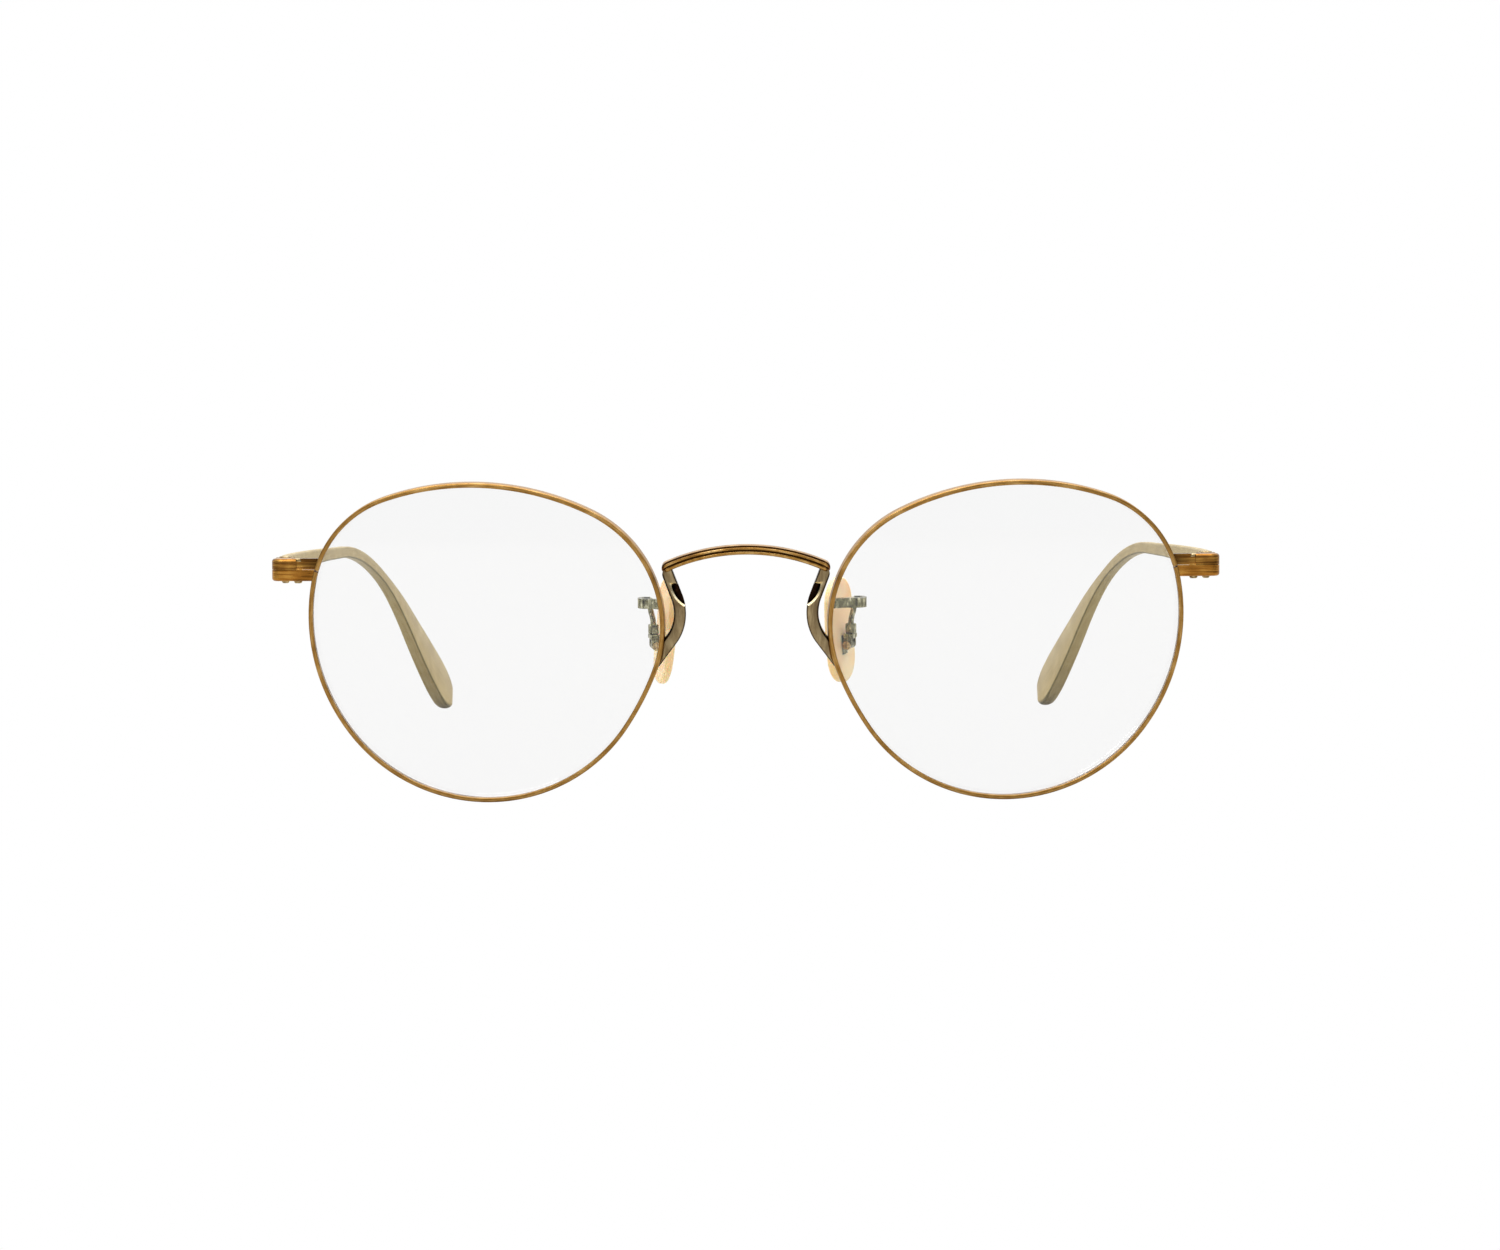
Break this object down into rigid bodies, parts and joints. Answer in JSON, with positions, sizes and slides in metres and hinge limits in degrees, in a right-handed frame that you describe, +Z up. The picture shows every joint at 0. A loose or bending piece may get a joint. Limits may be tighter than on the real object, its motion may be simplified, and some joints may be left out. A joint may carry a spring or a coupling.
{
  "type": "eyeglasses frame",
  "caption": "Round metal spectacle frame with clear lenses, arched bridge, adjustable nose pads and folding temples bent behind the ears.",
  "frame": {"origin": "bottom centre of the bounding box: the frame stands open on the bottoms of its rims and on its temple tips", "axes": "+X towards the wearer's left temple, +Y from the front back towards the wearer's ears, +Z up"},
  "size_m": [0.1286, 0.1494, 0.0429],
  "materials": {
    "gold_rim": "brushed antique gold plate on titanium",
    "gold_bridge": "brushed gold arch, polished brown-grey legs",
    "gold_end_piece": "brushed antique gold plate",
    "gold_temple": "satin pale gold plate",
    "hinge": "machined, gold plated",
    "screw": "turned, gold flashed",
    "pad_mount": "polished greenish gold",
    "nose_pad": "translucent moulded cream",
    "lens": "clear polished demo lens"
  },
  "bodies": {
    "front": {"bridge": "gold_bridge", "rim_left": "gold_rim", "lens_left": "lens", "end_piece_upper_left": "gold_end_piece", "end_piece_lower_left": "gold_end_piece", "closing_screw_left": "screw", "hinge_front_leaf_left": "hinge", "hinge_screw_left": "screw", "pad_arm_left": "pad_mount", "pad_box_left": "pad_mount", "pad_screw_left": "screw", "rim_right": "gold_rim", "lens_right": "lens", "end_piece_upper_right": "gold_end_piece", "end_piece_lower_right": "gold_end_piece", "closing_screw_right": "screw", "hinge_front_leaf_right": "hinge", "hinge_screw_right": "screw", "pad_arm_right": "pad_mount", "pad_box_right": "pad_mount", "pad_screw_right": "screw"},
    "temple_left": {"temple_left": "gold_temple", "hinge_temple_leaf_left": "hinge"},
    "temple_right": {"temple_right": "gold_temple", "hinge_temple_leaf_right": "hinge"},
    "nose_pad_left": {"nose_pad_left": "nose_pad", "pad_insert_left": "pad_mount"},
    "nose_pad_right": {"nose_pad_right": "nose_pad", "pad_insert_right": "pad_mount"}
  },
  "joints": [
    {"name": "temple_left_fold", "type": "hinge", "parent": "front", "child": "temple_left", "pos_m": [0.0618, -0.06124, 0.03108], "axis": [0, 0.0237, 0.9997], "range_deg": [0, 85]},
    {"name": "temple_right_fold", "type": "hinge", "parent": "front", "child": "temple_right", "pos_m": [-0.0618, -0.06124, 0.03108], "axis": [0, -0.0237, -0.9997], "range_deg": [0, 77]},
    {"name": "nose_pad_left_rock", "type": "hinge", "parent": "front", "child": "nose_pad_left", "pos_m": [0.01385, -0.06366, 0.02072], "axis": [0.4067, 0.9085, 0.0961], "range_deg": [-6, 6]},
    {"name": "nose_pad_right_rock", "type": "hinge", "parent": "front", "child": "nose_pad_right", "pos_m": [-0.01225, -0.06366, 0.02072], "axis": [-0.2334, 0.967, 0.1023], "range_deg": [-6, 6]}
  ]
}
